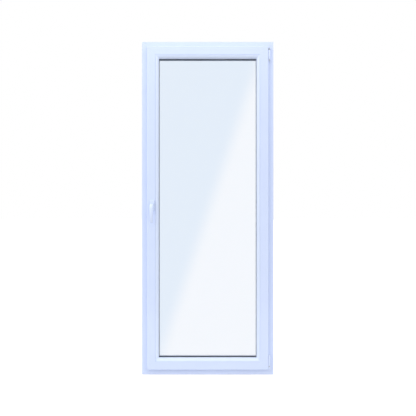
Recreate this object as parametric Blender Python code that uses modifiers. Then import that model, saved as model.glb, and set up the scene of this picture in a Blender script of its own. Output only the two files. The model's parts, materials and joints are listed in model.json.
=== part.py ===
"""Tall white tilt-and-turn casement window, built as the real one is.

Every length is in metres. The origin is the centre of the sill's underside. +X points to the hinge side,
+Y outdoors and +Z up. A section is drawn with u, the way in from the frame's outer edge, and v, the way
outdoors from the frame's room face, and is then carried along one of the four sides.
"""
import math

import bmesh
import bpy
from mathutils import Matrix, Vector

# Overall sizes of the fixed frame
WIDTH = 0.850
HEIGHT = 2.150
FRAME_DEPTH = 0.070

# Frame section
FRAME_REBATE = 0.042
LEG_REACH = 0.020
LEG_THICKNESS = 0.016
WALL = 0.003
WEB = 0.002

# Sash section
AIR_GAP = 0.012
OVERLAP = 0.020
SASH_BODY = 0.035
SASH_PROUD = 0.020
LIP_GAP = 0.0035
WEATHER_SEAL = 0.004
SASH_LEG = 0.010
BEAD_WIDTH = 0.021
EDGE_ROUND = 0.004

# Glazing
UNIT_THICKNESS = 0.024
PANE_THICKNESS = 0.004
GLAZING_SEAL = 0.003
EDGE_CLEARANCE = 0.005
SEAL_SEEN = 0.002
OUTER_SEAL_SEEN = -0.001

# Hardware
GROOVE_FROM_LIP = 0.013
GROOVE_WIDTH = 0.0166
GROOVE_DEPTH = 0.0032
CHANNEL_WIDTH = 0.0126
CHANNEL_DEPTH = 0.007
BACKSET = 0.015
RACK_LINE = 0.0055
TEETH = 14
CAM_RADIUS = 0.0035
CAM_HEAD_RADIUS = 0.005
CAM_REACH = 0.0075
FACEPLATE_SHORT = 0.030
ROD_SHORT = 0.040
HANDLE_HEIGHT = 1.092
SPINDLE_HALF = 0.0035
SPINDLE_BORE = 0.0056
LEVER_SOCKET = 0.032
HINGE_AXIS_OUT = 0.006
HINGE_AXIS_PROUD = 0.012
BARREL_RADIUS = 0.0057
PIN_RADIUS = 0.0030
WEB_BEFORE_AXIS = 0.0045
WEB_PAST_AXIS = 0.0035
TILT_AXIS_HEIGHT = 0.038
STAY_LENGTH = 0.400
STAY_DRIFT = 0.011
STEEL_WALL = 0.0015
DRAIN_CAP = (0.042, 0.005, 0.014)
GAP = 0.0003

# Places that follow from the sizes above
ROOM_FACE = -FRAME_DEPTH / 2
LEG_FACE = FRAME_DEPTH - LEG_THICKNESS
LEG_TIP = FRAME_REBATE + LEG_REACH
SASH_REBATE = FRAME_REBATE + AIR_GAP
LIP_EDGE = SASH_REBATE - OVERLAP
GLAZING_REBATE = SASH_REBATE + SASH_BODY
SIGHT_LINE = GLAZING_REBATE + BEAD_WIDTH
SASH_BACK = LEG_FACE - WEATHER_SEAL
SASH_LEG_FACE = SASH_BACK - SASH_LEG
UNIT_BACK = SASH_LEG_FACE - GLAZING_SEAL
UNIT_FACE = UNIT_BACK - UNIT_THICKNESS
BEAD_BACK = UNIT_FACE - GLAZING_SEAL
UNIT_EDGE = GLAZING_REBATE + EDGE_CLEARANCE
GROOVE_AXIS = GROOVE_FROM_LIP - LIP_GAP
SPINDLE_IN = SASH_REBATE + BACKSET
PINION_RADIUS = BACKSET - RACK_LINE
STROKE = math.pi * PINION_RADIUS
HINGE_X = WIDTH / 2 - LIP_EDGE + HINGE_AXIS_OUT
HINGE_Y = ROOM_FACE - HINGE_AXIS_PROUD
SPINDLE_X = SPINDLE_IN - WIDTH / 2

SIDES = {
    "lock": ((-WIDTH / 2, ROOM_FACE, HEIGHT / 2), 0.0, HEIGHT),
    "hinge": ((WIDTH / 2, ROOM_FACE, HEIGHT / 2), math.pi, HEIGHT),
    "sill": ((0.0, ROOM_FACE, 0.0), -math.pi / 2, WIDTH),
    "head": ((0.0, ROOM_FACE, HEIGHT), math.pi / 2, WIDTH),
}

for thing in list(bpy.data.objects):
    bpy.data.objects.remove(thing, do_unlink=True)

window = bpy.data.collections.new("casement_window")
cutters = bpy.data.collections.new("cutters")
bpy.context.scene.collection.children.link(window)
bpy.context.scene.collection.children.link(cutters)


def finish_material(name, colour, roughness, metallic=0.0, alpha=1.0):
    """A Principled material with one colour."""
    made = bpy.data.materials.new(name)
    made.use_nodes = True
    shader = made.node_tree.nodes["Principled BSDF"]
    shader.inputs["Base Color"].default_value = (*colour, 1.0)
    shader.inputs["Roughness"].default_value = roughness
    shader.inputs["Metallic"].default_value = metallic
    shader.inputs["Alpha"].default_value = alpha
    return made


FINISHES = {
    "upvc": ((0.84, 0.87, 0.93), 0.35, 0.0, 1.0),
    "steel": ((0.55, 0.56, 0.58), 0.35, 1.0, 1.0),
    "gasket": ((0.05, 0.05, 0.055), 0.7, 0.0, 1.0),
    "seal_grey": ((0.35, 0.36, 0.38), 0.7, 0.0, 1.0),
    "glass": ((0.85, 0.90, 0.95), 0.03, 0.0, 0.3),
    "spacer": ((0.6, 0.62, 0.65), 0.4, 1.0, 1.0),
    "plastic": ((0.12, 0.13, 0.15), 0.5, 0.0, 1.0),
    "coated": ((0.82, 0.85, 0.91), 0.3, 0.0, 1.0),
}


def node(name, mesh, finish, collection=window):
    """The named object of one piece, with a material of its own."""
    piece = bpy.data.objects.new(name, mesh)
    mesh.materials.clear()
    if collection is window:
        mesh.materials.append(finish_material(f"{name}_{finish}", *FINISHES[finish]))
    else:
        piece.hide_render = True
        piece.display_type = "WIRE"
    collection.objects.link(piece)
    return piece


def prism(loops, half_length):
    """Mesh of a flat outline with holes, carried half_length each way along local Z.

    It is drawn in millimetres and scaled back, because a fill merges points that lie close together.
    """
    per_metre = 1000.0
    curve = bpy.data.curves.new("outline", "CURVE")
    curve.dimensions = "2D"
    curve.fill_mode = "BOTH"
    curve.extrude = half_length * per_metre
    for loop in loops:
        spline = curve.splines.new("POLY")
        spline.points.add(len(loop) - 1)
        for point, (across, along) in zip(spline.points, loop):
            point.co = (across * per_metre, along * per_metre, 0.0, 1.0)
        spline.use_cyclic_u = True
    holder = bpy.data.objects.new("outline", curve)
    bpy.context.scene.collection.objects.link(holder)
    graph = bpy.context.evaluated_depsgraph_get()
    mesh = bpy.data.meshes.new_from_object(holder.evaluated_get(graph))
    bpy.data.objects.remove(holder, do_unlink=True)
    bpy.data.curves.remove(curve)
    shape = bmesh.new()
    shape.from_mesh(mesh)
    bmesh.ops.remove_doubles(shape, verts=shape.verts, dist=1e-3)
    bmesh.ops.recalc_face_normals(shape, faces=shape.faces)
    shape.to_mesh(mesh)
    shape.free()
    mesh.transform(Matrix.Scale(1 / per_metre, 4))
    return mesh


def on_side(piece, side):
    """Lays a piece whose local x, y and z are u, v and the way along onto one side of the window."""
    origin, turn, _ = SIDES[side]
    piece.location = origin
    piece.rotation_euler = (0.0, turn, 0.0)
    return piece


def mitred(name, side, loops, finish):
    """A length of profile along one side, its ends cut at 45 degrees to meet the next side's."""
    half = SIDES[side][2] / 2
    mesh = prism(loops, half)
    cut_back = GAP / math.sqrt(2)
    for vertex in mesh.vertices:
        end = 1.0 if vertex.co.z > 0 else -1.0
        vertex.co.z = end * (half - vertex.co.x - cut_back)
    return on_side(node(name, mesh, finish), side)


def straight(name, side, loops, finish, end_inset):
    """A length of section along one side, cut square and stopping short of both ends."""
    mesh = prism(loops, SIDES[side][2] / 2 - end_inset)
    return on_side(node(name, mesh, finish), side)


def box_loop(u0, u1, v0, v1):
    return [(u0, v0), (u1, v0), (u1, v1), (u0, v1)]


def side_box(name, side, us, vs, alongs, finish, collection=window):
    """A block given by its ranges of u, v and the way along a side."""
    mesh = prism([box_loop(us[0], us[1], vs[0], vs[1])], (alongs[1] - alongs[0]) / 2)
    mesh.transform(Matrix.Translation((0.0, 0.0, (alongs[0] + alongs[1]) / 2)))
    return on_side(node(name, mesh, finish, collection), side)


def block(name, low, high, finish, collection=window, round_off=0.0):
    """A block between two corners in the window's own axes, its edges rounded if asked."""
    centre = [(a + b) / 2 for a, b in zip(low, high)]
    shape = bmesh.new()
    bmesh.ops.create_cube(shape, size=1.0)
    bmesh.ops.scale(shape, vec=[b - a for a, b in zip(low, high)], verts=shape.verts)
    mesh = bpy.data.meshes.new(name)
    shape.to_mesh(mesh)
    shape.free()
    piece = node(name, mesh, finish, collection)
    piece.location = centre
    if round_off:
        rounding = piece.modifiers.new("rounding", "BEVEL")
        rounding.width = round_off
        rounding.segments = 3
        rounding.limit_method = "ANGLE"
    return piece


def cylinder(name, radius, start, end, finish, collection=window, sides=32):
    """A round bar between two points."""
    start, end = Vector(start), Vector(end)
    shape = bmesh.new()
    bmesh.ops.create_cone(
        shape, cap_ends=True, segments=sides, radius1=radius, radius2=radius, depth=(end - start).length
    )
    mesh = bpy.data.meshes.new(name)
    shape.to_mesh(mesh)
    shape.free()
    mesh.shade_smooth()
    mesh.set_sharp_from_angle(angle=math.radians(35))
    piece = node(name, mesh, finish, collection)
    piece.location = (start + end) / 2
    piece.rotation_euler = (end - start).to_track_quat("Z", "Y").to_euler()
    return piece


def turned(name, profile, finish, sides=24):
    """A turned piece about local Z, from (radius, height) points that run down its outer side."""
    mesh = bpy.data.meshes.new(name)
    points = [(radius, 0.0, height) for radius, height in profile]
    mesh.from_pydata(points, [(i, i + 1) for i in range(len(points) - 1)], [])
    piece = node(name, mesh, finish)
    turning = piece.modifiers.new("turning", "SCREW")
    turning.steps = sides
    turning.render_steps = sides
    turning.use_merge_vertices = True
    turning.merge_threshold = 1e-6
    turning.use_smooth_shade = False
    return piece


def combine(piece, other, operation):
    change = piece.modifiers.new(operation.lower(), "BOOLEAN")
    change.operation = operation
    change.solver = "EXACT"
    change.object = other
    return piece


def carve(piece, cutter):
    return combine(piece, cutter, "DIFFERENCE")


def join(piece, other):
    return combine(piece, other, "UNION")


def arc(centre, radius, start, stop, steps):
    """Points on an arc, with angles in degrees."""
    angles = [math.radians(start + (stop - start) * i / steps) for i in range(steps + 1)]
    return [(centre[0] + radius * math.cos(a), centre[1] + radius * math.sin(a)) for a in angles]


# Frame: four lengths of hollow profile with a steel bar in each


def frame_loops():
    lip_slope = 0.004
    outline = [(0.0, 0.0), *arc((FRAME_REBATE - 0.002, 0.002), 0.002, -90, 0, 4)]
    outline += [(FRAME_REBATE, LEG_FACE), (LEG_TIP, LEG_FACE), (LEG_TIP, FRAME_DEPTH - lip_slope)]
    outline += [(LEG_TIP - lip_slope / 2, FRAME_DEPTH), (0.0, FRAME_DEPTH)]
    inner = FRAME_REBATE - WALL
    room_end = 0.012
    steel_end = LEG_FACE - 0.013
    return [
        outline,
        box_loop(WALL, inner, WALL, room_end),
        box_loop(WALL, inner, room_end + WEB, steel_end),
        box_loop(WALL, inner, steel_end + WEB, LEG_FACE - WEB),
        box_loop(WALL, LEG_TIP - WALL, LEG_FACE + WALL, FRAME_DEPTH - WALL),
    ], (WALL, inner, room_end + WEB, steel_end)


def steel_loops(chamber):
    u0, u1, v0, v1 = chamber
    slack = 2 * GAP
    outer = box_loop(u0 + slack, u1 - slack, v0 + slack, v1 - slack)
    t = slack + STEEL_WALL
    return [outer, box_loop(u0 + t, u1 - t, v0 + t, v1 - t)]


def build_frame():
    loops, chamber = frame_loops()
    names = ("frame_lock_jamb", "frame_hinge_jamb", "frame_sill", "frame_head")
    for side, name in zip(SIDES, names):
        mitred(name, side, loops, "upvc")
        straight(f"{name}_steel", side, steel_loops(chamber), "steel", FRAME_REBATE)
    ring("frame_weather_gasket", LEG_TIP - 0.006, LEG_TIP - 0.001, SASH_BACK + GAP, LEG_FACE - GAP, "gasket")
    drain_height = 0.020
    across, out, up = DRAIN_CAP
    back = ROOM_FACE + FRAME_DEPTH + GAP
    for name, x in (("drain_cap_lock_side", -WIDTH / 4), ("drain_cap_hinge_side", WIDTH / 4)):
        low = (x - across / 2, back, drain_height - up / 2)
        high = (x + across / 2, back + out, drain_height + up / 2)
        block(name, low, high, "upvc", round_off=0.0015)


def ring(name, u_out, u_in, v0, v1, finish):
    """A closed seal or spacer, of rectangular section, that runs round all four sides."""
    loops = []
    for u in (u_out, u_in):
        x, z = WIDTH / 2 - u, HEIGHT / 2 - u
        loops.append([(-x, -z), (x, -z), (x, z), (-x, z)])
    piece = node(name, prism(loops, (v1 - v0) / 2), finish)
    piece.location = (0.0, ROOM_FACE + (v0 + v1) / 2, HEIGHT / 2)
    piece.rotation_euler = (math.pi / 2, 0.0, 0.0)
    return piece


# Sash: four lengths of hollow profile whose lip laps over the frame's room face


def sash_loops():
    half_groove, half_channel = GROOVE_WIDTH / 2, CHANNEL_WIDTH / 2
    bed, floor = SASH_REBATE + GROOVE_DEPTH, SASH_REBATE + CHANNEL_DEPTH
    rounded = arc((LIP_EDGE + EDGE_ROUND, -SASH_PROUD + EDGE_ROUND), EDGE_ROUND, 180, 270, 6)
    outline = [*rounded, (GLAZING_REBATE, -SASH_PROUD), (GLAZING_REBATE, SASH_LEG_FACE)]
    outline += [(SIGHT_LINE, SASH_LEG_FACE), (SIGHT_LINE, SASH_BACK - 0.003), (SIGHT_LINE - 0.002, SASH_BACK)]
    outline += [(SASH_REBATE, SASH_BACK), (SASH_REBATE, GROOVE_AXIS + half_groove)]
    outline += [(bed, GROOVE_AXIS + half_groove), (bed, GROOVE_AXIS + half_channel)]
    outline += [(floor, GROOVE_AXIS + half_channel), (floor, GROOVE_AXIS - half_channel)]
    outline += [(bed, GROOVE_AXIS - half_channel), (bed, GROOVE_AXIS - half_groove)]
    outline += [(SASH_REBATE, GROOVE_AXIS - half_groove), (SASH_REBATE, -LIP_GAP), (LIP_EDGE, -LIP_GAP)]
    inner = GLAZING_REBATE - WALL
    lip_back = -LIP_GAP - WALL
    face = -SASH_PROUD + WALL
    gear_end = GROOVE_AXIS + half_groove + WALL
    steel = (SASH_REBATE + WALL, inner, gear_end + WEB, SASH_LEG_FACE - WEB)
    return [
        outline,
        box_loop(LIP_EDGE + WALL, SASH_REBATE - WALL, face, lip_back),
        box_loop(SASH_REBATE - WALL + WEB, inner, face, lip_back),
        box_loop(floor + WEB, inner, lip_back + WEB, gear_end),
        box_loop(*steel),
        box_loop(SASH_REBATE + WALL, SIGHT_LINE - WALL, SASH_LEG_FACE + WEB, SASH_BACK - WALL),
    ], steel


def build_sash():
    loops, chamber = sash_loops()
    names = ("sash_lock_stile", "sash_hinge_stile", "sash_bottom_rail", "sash_top_rail")
    made = {}
    for side, name in zip(SIDES, names):
        made[side] = mitred(name, side, loops, "upvc")
        straight(f"{name}_steel", side, steel_loops(chamber), "steel", GLAZING_REBATE)
    pocket_half = 0.0455
    rise = HANDLE_HEIGHT - HEIGHT / 2
    half_pocket = CHANNEL_WIDTH / 2 + 0.0004
    pocket = side_box(
        "gear_pocket", "lock",
        (SASH_REBATE + GROOVE_DEPTH, SASH_REBATE + CHANNEL_DEPTH + 0.004),
        (GROOVE_AXIS - half_pocket, GROOVE_AXIS + half_pocket),
        (rise - pocket_half, rise + pocket_half), "steel", cutters,
    )
    carve(made["lock"], pocket)
    start = (SPINDLE_X, ROOM_FACE - SASH_PROUD - 0.002, HANDLE_HEIGHT)
    hole = cylinder("spindle_hole", 0.0065, start, (SPINDLE_X, ROOM_FACE, HANDLE_HEIGHT), "steel", cutters)
    carve(made["lock"], hole)
    build_sash_seals()


def build_sash_seals():
    """The seal on the lip's back. The hinge side has a strip of its own, between the hinges."""
    u0, u1 = LIP_EDGE + 0.002, LIP_EDGE + 0.006
    v0, v1 = -LIP_GAP + GAP, -GAP
    seal = ring("sash_lip_gasket", u0, u1, v0, v1, "seal_grey")
    room = ROOM_FACE - SASH_PROUD
    low = (HINGE_X - 0.017, room, 0.0)
    carve(seal, block("hinge_side_relief", low, (WIDTH / 2, 0.0, HEIGHT), "steel", cutters))
    strip = (-HEIGHT / 2 + 0.130, HEIGHT / 2 - 0.140)
    side_box("sash_lip_gasket_hinge_side", "hinge", (u0, u1), (v0, v1), strip, "seal_grey")


# Glazing: two panes on a spacer, held by mitred beads between rubber seals


def bead_loops():
    root = GLAZING_REBATE + GAP
    shoulder = root + 0.002
    face = -SASH_PROUD + 0.0015
    nose = face + 0.0175
    steps = 8
    quarter = [math.pi / 2 * i / steps for i in range(steps + 1)]
    reach, fall = SIGHT_LINE - shoulder, nose - face
    curve = [(shoulder + reach * math.sin(t), nose - fall * math.cos(t)) for t in quarter]
    back = BEAD_BACK - GAP
    outline = [(root, face + 0.001), *curve]
    outline += [(SIGHT_LINE, back - 0.004), (SIGHT_LINE - 0.002, back), (root, back)]
    wall, inset = 0.004, 0.86
    inside = [(reach - wall) * math.sin(t) for t in quarter[::2]]
    hollow = [(shoulder + u, nose - fall * inset * math.cos(t)) for u, t in zip(inside, quarter[::2])]
    hollow += [(SIGHT_LINE - wall, back - 0.005), (shoulder, back - 0.003)]
    return [outline, hollow]


def build_glazing():
    names = ("bead_lock_side", "bead_hinge_side", "bead_bottom", "bead_top")
    for side, name in zip(SIDES, names):
        mitred(name, side, bead_loops(), "upvc")
    root, lip, outer_lip = SIGHT_LINE - 0.004, SIGHT_LINE + SEAL_SEEN, SIGHT_LINE + OUTER_SEAL_SEEN
    ring("inner_glazing_gasket", root, lip, BEAD_BACK + GAP, UNIT_FACE - GAP, "gasket")
    ring("outer_glazing_gasket", root, outer_lip, UNIT_BACK + GAP, SASH_LEG_FACE - GAP, "gasket")
    x, z = WIDTH / 2 - UNIT_EDGE, HEIGHT - UNIT_EDGE
    for name, v in (("inner_pane", UNIT_FACE), ("outer_pane", UNIT_BACK - PANE_THICKNESS)):
        y = ROOM_FACE + v
        block(name, (-x, y, UNIT_EDGE), (x, y + PANE_THICKNESS, z), "glass")
    cavity = (UNIT_FACE + PANE_THICKNESS + GAP, UNIT_BACK - PANE_THICKNESS - GAP)
    ring("spacer_frame", UNIT_EDGE + 0.003, UNIT_EDGE + 0.012, *cavity, "spacer")
    deep = (UNIT_FACE + 0.0005, UNIT_BACK - 0.0005)
    high = (GLAZING_REBATE + GAP, UNIT_EDGE - GAP)
    block_half, from_corner = 0.050, UNIT_EDGE + 0.080
    for name, side, place in (
        ("setting_block_hinge_side", "sill", -(WIDTH / 2 - from_corner)),
        ("setting_block_lock_side", "sill", WIDTH / 2 - from_corner),
        ("setting_block_lock_stile", "lock", HEIGHT / 2 - from_corner),
    ):
        side_box(name, side, high, deep, (place - block_half, place + block_half), "plastic")


# Lock side: a rod with three cams, driven through a pinion by the handle


LOCK_CAMS = {"upper": HEIGHT - 0.350, "middle": HANDLE_HEIGHT + 0.230, "lower": 0.350}
TILT_CAM_X = -WIDTH / 2 + 0.250
ROD_FACE = SASH_REBATE + GROOVE_DEPTH - 0.0001
ROD_BACK = SASH_REBATE + RACK_LINE + 0.001
ROD_ROOT = SASH_REBATE + RACK_LINE - 0.0013
PITCH = 2 * math.pi * PINION_RADIUS / TEETH


def rack_spaces():
    """Outlines of the spaces between the rack's teeth, each mouth a little past the rod's back."""
    count = math.ceil((STROKE + 5 * PITCH) / PITCH)
    first = HANDLE_HEIGHT - HEIGHT / 2 - 2 * PITCH
    narrow, wide = 0.16 * PITCH, 0.36 * PITCH
    mouth = ROD_BACK + 0.0004
    loops = []
    for i in range(count):
        middle = first + i * PITCH
        loops.append([
            (mouth, middle + wide), (ROD_ROOT, middle + narrow),
            (ROD_ROOT, middle - narrow), (mouth, middle - wide),
        ])
    return loops


def pinion_outline():
    """Fourteen plain teeth, narrow enough to leave backlash; one tooth points at the rod at rest."""
    tip, root = PINION_RADIUS + 0.0009, PINION_RADIUS - 0.0013
    at_tip, at_root = 0.10 * PITCH / tip, 0.26 * PITCH / root
    points = []
    for i in range(TEETH):
        middle = math.pi + 2 * math.pi * i / TEETH
        for turn, radius in ((-at_root, root), (-at_tip, tip), (at_tip, tip), (at_root, root)):
            points.append((radius * math.cos(middle + turn), radius * math.sin(middle + turn)))
    return points


def facing_room(mesh, y):
    """Stands a mesh drawn in x and z, with its thickness along local Z, upright at a given y."""
    mesh.transform(Matrix.Translation((0.0, y, 0.0)) @ Matrix.Rotation(math.pi / 2, 4, "X"))
    return mesh


def cam(name, side, along):
    """A mushroom-headed cam that stands out of the sash's edge into the air gap."""
    reach = CAM_REACH
    neck = ROD_FACE - SASH_REBATE - GAP
    profile = [(0.0, reach), (CAM_HEAD_RADIUS - 0.0005, reach), (CAM_HEAD_RADIUS, reach - 0.0005)]
    profile += [(CAM_HEAD_RADIUS, reach - 0.002), (CAM_RADIUS, reach - 0.002)]
    profile += [(CAM_RADIUS, -neck), (0.0, -neck)]
    piece = turned(name, profile, "steel")
    origin, turn, _ = SIDES[side]
    place = Matrix.Translation(origin) @ Matrix.Rotation(turn, 4, "Y")
    stand = Matrix.Translation((SASH_REBATE, GROOVE_AXIS, along)) @ Matrix.Rotation(-math.pi / 2, 4, "Y")
    piece.matrix_world = place @ stand
    return piece


def keep(name, side, along):
    """A striker screwed to the frame: a base plate with a low catch lip beside the cam's path."""
    half = 0.030
    below_cam = 0.009
    foot, plate = FRAME_REBATE + GAP, FRAME_REBATE + 0.0019
    lip_top = SASH_REBATE - CAM_REACH - GAP
    v0, v1 = GROOVE_AXIS - 0.012, GROOVE_AXIS + 0.010
    lip_back = GROOVE_AXIS - CAM_HEAD_RADIUS - 0.0005
    lip_front = lip_back - 0.0025
    section = [(foot, v0), (plate, v0), (plate, lip_front), (lip_top, lip_front), (lip_top, lip_back)]
    section += [(plate, lip_back), (plate, v1), (foot, v1)]
    mesh = prism([section], half)
    mesh.transform(Matrix.Translation((0.0, 0.0, along + half - below_cam)))
    return on_side(node(name, mesh, "steel"), side)


def cam_slot(along):
    """The slot a cam runs in, from its locked place at one end to its tilt place at the other."""
    edge = CAM_RADIUS + GAP
    low, high = along - STROKE - edge, along + edge
    return [(-edge, low), (edge, low), (edge, high), (-edge, high)]


def plate_loop(half_length):
    """A faceplate's outline, which just fits the groove's width."""
    half_plate = GROOVE_WIDTH / 2 - GAP
    return box_loop(-half_plate, half_plate, -half_length, half_length)


def build_lock_side():
    middle = HEIGHT / 2
    half_length = middle - GLAZING_REBATE - FACEPLATE_SHORT
    slots = [cam_slot(height - middle) for height in LOCK_CAMS.values()]
    faceplate("lock_side_faceplate", "lock", [plate_loop(half_length), *slots])
    rod_half = half_length - ROD_SHORT
    half_rod = CHANNEL_WIDTH / 2 - GAP
    rod = side_box(
        "lock_side_drive_rod", "lock", (ROD_FACE, ROD_BACK), (GROOVE_AXIS - half_rod, GROOVE_AXIS + half_rod),
        (STROKE - rod_half, rod_half), "steel",
    )
    spaces = facing_room(prism(rack_spaces(), half_rod + 0.001), GROOVE_AXIS)
    carve(rod, on_side(node("rack_spaces", spaces, "steel", cutters), "lock"))
    for place, height in LOCK_CAMS.items():
        cam(f"lock_cam_{place}", "lock", height - middle)
        keep(f"lock_keep_{place}", "lock", height - middle)


def faceplate(name, side, loops):
    """A strip drawn across the groove (v) and along it, and given its thickness along u."""
    thickness = GROOVE_DEPTH - 0.0007
    mesh = prism(loops, thickness / 2)
    upright = Matrix(((0, 0, 1, 0), (1, 0, 0, 0), (0, 1, 0, 0), (0, 0, 0, 1)))
    shift = Matrix.Translation((SASH_REBATE + GAP + thickness / 2, GROOVE_AXIS, 0.0))
    mesh.transform(shift @ upright)
    return on_side(node(name, mesh, "steel"), side)


def build_bottom_rod():
    """The rod in the bottom rail, with the cam that holds the sash's foot in while it tilts."""
    along = -TILT_CAM_X
    half_length = WIDTH / 2 - GLAZING_REBATE - FACEPLATE_SHORT
    faceplate("bottom_faceplate", "sill", [plate_loop(half_length), cam_slot(along)])
    rod_half = half_length - ROD_SHORT
    half_rod = CHANNEL_WIDTH / 2 - GAP
    side_box(
        "bottom_drive_rod", "sill", (ROD_FACE, ROD_BACK), (GROOVE_AXIS - half_rod, GROOVE_AXIS + half_rod),
        (STROKE - rod_half, rod_half), "steel",
    )
    cam("tilt_cam", "sill", along)
    keep("tilt_keep", "sill", along)


def build_gearbox():
    y = ROOM_FACE + GROOVE_AXIS
    half_box = CHANNEL_WIDTH / 2 - GAP
    wall = 0.0012
    mouth, back = ROD_BACK + 0.0004, GLAZING_REBATE - WALL - 0.002
    inner = half_box - wall
    shell = [(mouth, -half_box), (back, -half_box), (back, half_box), (mouth, half_box)]
    shell += [(mouth, inner), (back - wall, inner), (back - wall, -inner), (mouth, -inner)]
    mesh = prism([[(u, v + GROOVE_AXIS) for u, v in shell]], 0.045)
    mesh.transform(Matrix.Translation((0.0, 0.0, HANDLE_HEIGHT - HEIGHT / 2)))
    case = on_side(node("gearbox_case", mesh, "steel"), "lock")
    front, behind = (SPINDLE_X, y - 0.02, HANDLE_HEIGHT), (SPINDLE_X, y + 0.02, HANDLE_HEIGHT)
    carve(case, cylinder("gearbox_bore", SPINDLE_BORE, front, behind, "steel", cutters))
    hole = SPINDLE_HALF + GAP
    gear = prism([pinion_outline(), box_loop(-hole, hole, -hole, hole)], inner - 0.0006)
    pinion = node("drive_pinion", facing_room(gear, 0.0), "steel")
    pinion.location = (SPINDLE_X, y, HANDLE_HEIGHT)
    socket_end = ROOM_FACE - SASH_PROUD - LEVER_SOCKET
    low = (SPINDLE_X - SPINDLE_HALF, socket_end, HANDLE_HEIGHT - SPINDLE_HALF)
    high = (SPINDLE_X + SPINDLE_HALF, y + half_box, HANDLE_HEIGHT + SPINDLE_HALF)
    block("handle_spindle", low, high, "steel")


# Handle: a rosette on the sash and a lever that hangs down when the window is locked


ROSETTE_WIDTH = 0.029
ROSETTE_HEIGHT = 0.070
ROSETTE_DEPTH = 0.010
ROSETTE_SCREW = 0.0215
LEVER_PROUD = 0.046
LEVER_THICKNESS = 0.012
LEVER_WIDTH = 0.022
LEVER_TIP_WIDTH = 0.015
LEVER_DROP = 0.110
LEVER_RISE = 0.013


def build_handle():
    face = ROOM_FACE - SASH_PROUD
    x = SPINDLE_X
    low = (x - ROSETTE_WIDTH / 2, face - GAP - ROSETTE_DEPTH, HANDLE_HEIGHT - ROSETTE_HEIGHT / 2)
    high = (x + ROSETTE_WIDTH / 2, face - GAP, HANDLE_HEIGHT + ROSETTE_HEIGHT / 2)
    rosette = block("handle_rosette", low, high, "coated", round_off=0.003)
    front, behind = (x, face - 0.02, HANDLE_HEIGHT), (x, face + 0.02, HANDLE_HEIGHT)
    carve(rosette, cylinder("rosette_bore", SPINDLE_BORE, front, behind, "steel", cutters))
    screw_radius = 0.0025
    for name, z in (("rosette_screw_top", ROSETTE_SCREW), ("rosette_screw_bottom", -ROSETTE_SCREW)):
        height = HANDLE_HEIGHT + z
        front, behind = (x, face - 0.02, height), (x, face + 0.001, height)
        hole = cylinder(f"{name}_hole", screw_radius + 0.0005, front, behind, "steel", cutters, 16)
        carve(rosette, hole)
        seat = (x, face - GAP - ROSETTE_DEPTH + 0.001, height)
        cylinder(name, screw_radius, seat, (x, face - GAP, height), "steel", sides=16)
    top_round = arc((0.0, LEVER_RISE - LEVER_WIDTH / 2), LEVER_WIDTH / 2, 0, 180, 12)
    tip_round = arc((0.0, LEVER_TIP_WIDTH / 2 - LEVER_DROP), LEVER_TIP_WIDTH / 2, 180, 360, 12)
    thickness = LEVER_THICKNESS
    mesh = facing_room(prism([top_round + tip_round], thickness / 2), 0.0)
    lever = node("handle_lever", mesh, "coated")
    lever.location = (x, face - LEVER_PROUD - thickness / 2 + 0.001, HANDLE_HEIGHT)
    collar_front = face - LEVER_PROUD - 0.004
    collar_back = face - GAP - ROSETTE_DEPTH - GAP
    front, behind = (x, collar_front, HANDLE_HEIGHT), (x, collar_back, HANDLE_HEIGHT)
    join(lever, cylinder("lever_neck", 0.009, front, behind, "coated", cutters))
    front, behind = (x, face - LEVER_SOCKET - GAP, HANDLE_HEIGHT), (x, face, HANDLE_HEIGHT)
    carve(lever, cylinder("lever_socket", SPINDLE_BORE - GAP, front, behind, "steel", cutters))


# Hinges: a stay bearing at the top, a corner bearing at the foot


def knuckle_plate(name, heights, face_vs, flange_u, finish):
    """A leaf: a web from the hinge axis back to the lip gap, a plate through it and a flange in the air gap.

    Each piece stands a small step inside the last, so that no two of their faces lie in one plane.
    """
    step = 0.0004
    z0, z1 = heights[0] + step, heights[1] - step
    y0, y1 = ROOM_FACE + face_vs[0], ROOM_FACE + face_vs[1]
    plate_end = HINGE_X + WEB_PAST_AXIS
    leaf = block(name, (flange_u[0] + step, y0, z0), (plate_end, y1, z1), finish)
    web_start = HINGE_X - WEB_BEFORE_AXIS
    web_low, web_high = (web_start, HINGE_Y, z0 + step), (plate_end - step, y1 - step, z1 - step)
    join(leaf, block(f"{name}_web", web_low, web_high, finish, cutters))
    flange_foot = max(z0 + step, FRAME_REBATE + GAP)
    flange_low, flange_high = (flange_u[0], y0 + step, flange_foot), (flange_u[1], y1 + 0.018, z1 - step)
    join(leaf, block(f"{name}_flange", flange_low, flange_high, finish, cutters))
    return leaf


def barrel(name, radius, z0, z1):
    return cylinder(name, radius, (HINGE_X, HINGE_Y, z0), (HINGE_X, HINGE_Y, z1), "steel", cutters)


def build_top_hinge():
    eye_base = HEIGHT - SASH_REBATE + 0.0004
    top, middle = eye_base - 0.004, eye_base - 0.043
    foot, pin_foot = eye_base - 0.062, eye_base - 0.075
    jamb = WIDTH / 2 - FRAME_REBATE
    leaf = knuckle_plate(
        "top_hinge_bracket", (foot, top), (-LIP_GAP + 0.0012, -GAP),
        (jamb - GAP - 0.002, jamb - GAP), "coated",
    )
    join(leaf, barrel("top_knuckle_wide", BARREL_RADIUS, middle, top))
    join(leaf, barrel("top_knuckle_narrow", BARREL_RADIUS - 0.001, foot, middle + 0.001))
    carve(leaf, barrel("top_pin_bore", PIN_RADIUS + GAP, foot - 0.01, top + 0.01))
    start, end = (HINGE_X, HINGE_Y, pin_foot), (HINGE_X, HINGE_Y, eye_base - 0.0005)
    cylinder("top_hinge_pin", PIN_RADIUS, start, end, "steel")


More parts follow.
